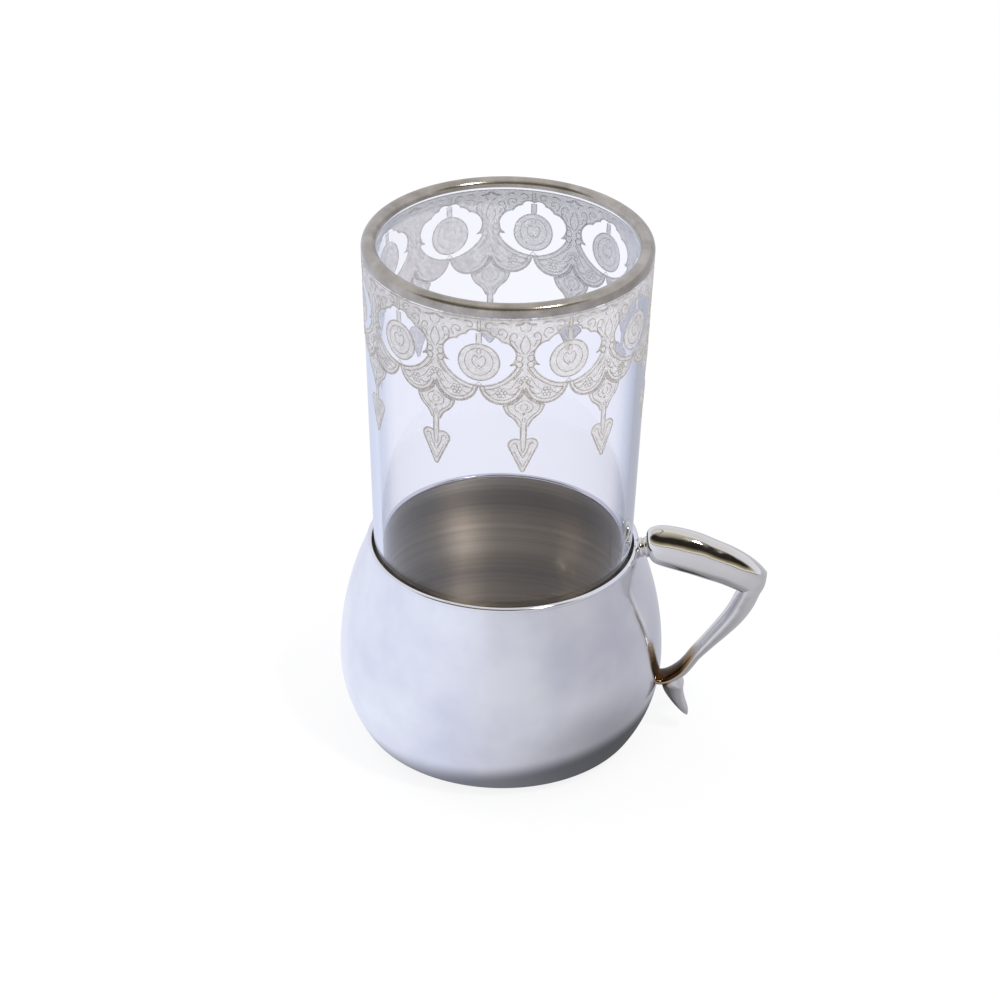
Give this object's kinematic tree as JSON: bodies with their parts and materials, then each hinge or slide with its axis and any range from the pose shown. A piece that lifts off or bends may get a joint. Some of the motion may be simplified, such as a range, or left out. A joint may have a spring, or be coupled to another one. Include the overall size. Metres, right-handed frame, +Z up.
{
  "type": "tea glass holder",
  "caption": "Round-bellied metal tea glass holder with an angular side handle and a fishtail spur, holding a straight glass with a lace frieze that lifts out.",
  "frame": {"origin": "centre of the flat base that the holder stands on", "axes": "+Z up along the axis of the bowl and of the glass, +X towards the handle"},
  "size_m": [0.0944, 0.0718, 0.1213],
  "materials": {
    "bowl_metal": "polished silver plate outside, spun satin inside",
    "bead_metal": "polished silver plate",
    "handle_metal": "polished cast silver plate",
    "clear_glass": "clear pressed glass, polished",
    "lip_lustre": "fired grey platinum lustre, thin and glossy",
    "frosted_enamel": "fired translucent frosted enamel, satin"
  },
  "bodies": {
    "holder": {"bowl_shell": "bowl_metal", "rim_bead": "bead_metal", "handle_neck": "handle_metal", "handle_grip": "handle_metal", "handle_limb": "handle_metal"},
    "glass": {"tumbler": "clear_glass", "lip_lustre": "lip_lustre", "frieze_field": "frosted_enamel", "frieze_medallions": "frosted_enamel", "frieze_pendants": "frosted_enamel"}
  },
  "joints": [
    {"name": "glass_lift", "type": "slide", "parent": "holder", "child": "glass", "axis": [0, 0, 1], "range_m": [0, 0.06]}
  ]
}
